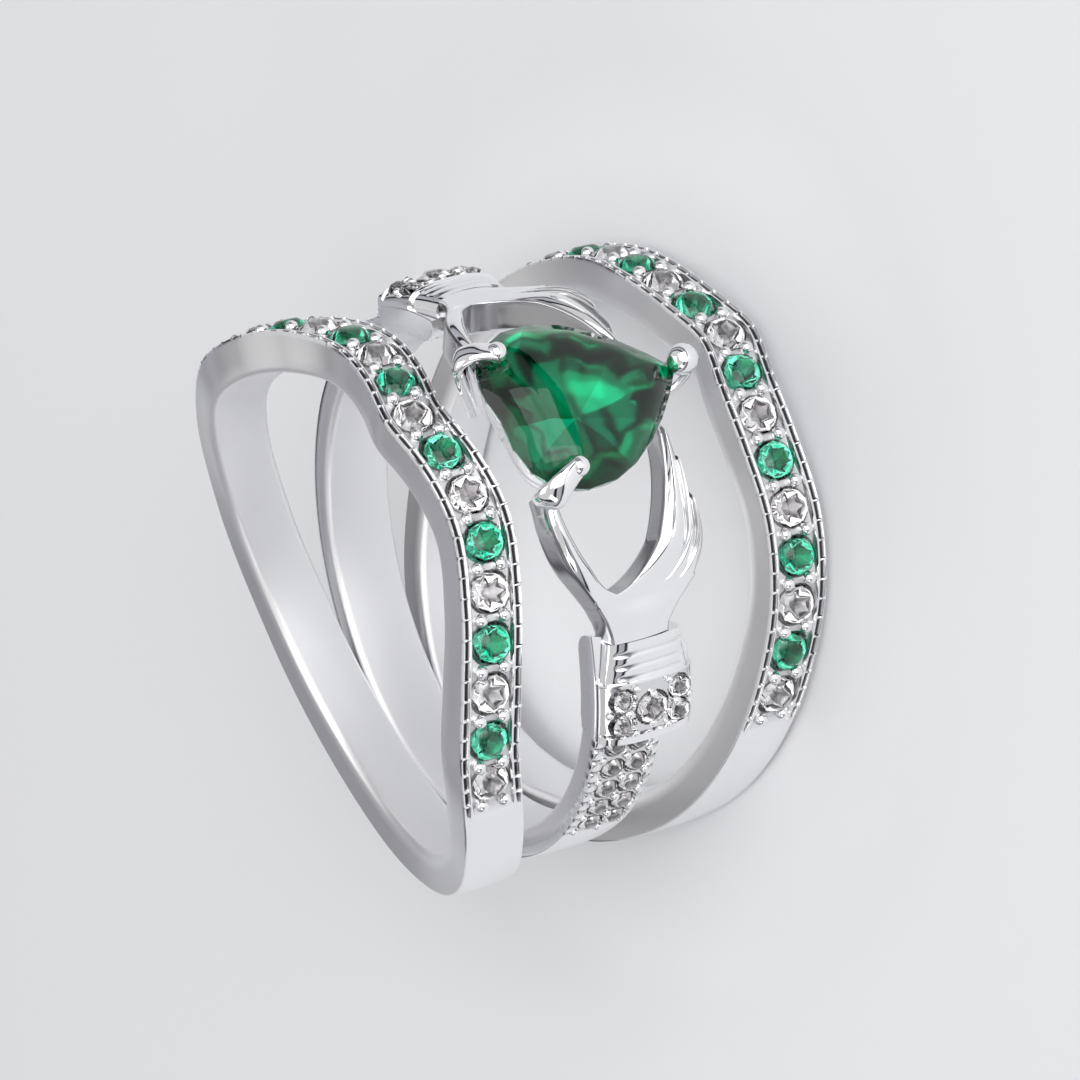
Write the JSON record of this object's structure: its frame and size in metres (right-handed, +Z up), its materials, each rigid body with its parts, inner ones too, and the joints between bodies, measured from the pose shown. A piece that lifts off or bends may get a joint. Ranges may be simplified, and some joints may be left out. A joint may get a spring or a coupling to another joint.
{
  "type": "ring",
  "caption": "Claddagh ring: a heart-cut stone held by hands over raised, stone-set cuffs, between fanned side bands set with rows of small round stones.",
  "frame": {"origin": "middle of the footprint on the surface that the ring lies on, under the middle of its bounding box", "axes": "+Z up from the surface, -Y towards the heart, +X towards the hand at the end of the head that is further from the lower band's cuffs; the finger hole's axis leans about 13 degrees from +Z towards +Y"},
  "size_m": [0.0204, 0.0244, 0.0146],
  "materials": {
    "silver": "mirror polished silver",
    "heart_green": "faceted, polished",
    "green_stone": "faceted, polished",
    "white_stone": "faceted, polished"
  },
  "bodies": {
    "root": {"ring": "silver", "heart_stone": "heart_green", "pave_stones": "white_stone", "upper_stone_1": "white_stone", "upper_stone_2": "green_stone", "upper_stone_3": "white_stone", "upper_stone_4": "green_stone", "upper_stone_5": "white_stone", "upper_stone_6": "green_stone", "upper_stone_7": "white_stone", "upper_stone_8": "green_stone", "upper_stone_9": "white_stone", "upper_stone_10": "green_stone", "upper_stone_11": "white_stone", "upper_stone_12": "green_stone", "upper_stone_13": "white_stone", "upper_stone_14": "green_stone", "upper_stone_15": "white_stone", "upper_stone_16": "green_stone", "upper_stone_17": "white_stone", "lower_stone_1": "white_stone", "lower_stone_2": "green_stone", "lower_stone_3": "white_stone", "lower_stone_4": "green_stone", "lower_stone_5": "white_stone", "lower_stone_6": "green_stone", "lower_stone_7": "white_stone", "lower_stone_8": "green_stone", "lower_stone_9": "white_stone", "lower_stone_10": "green_stone", "lower_stone_11": "white_stone", "lower_stone_12": "green_stone", "lower_stone_13": "white_stone", "lower_stone_14": "green_stone", "lower_stone_15": "white_stone", "lower_stone_16": "green_stone", "lower_stone_17": "white_stone"}
  },
  "joints": []
}
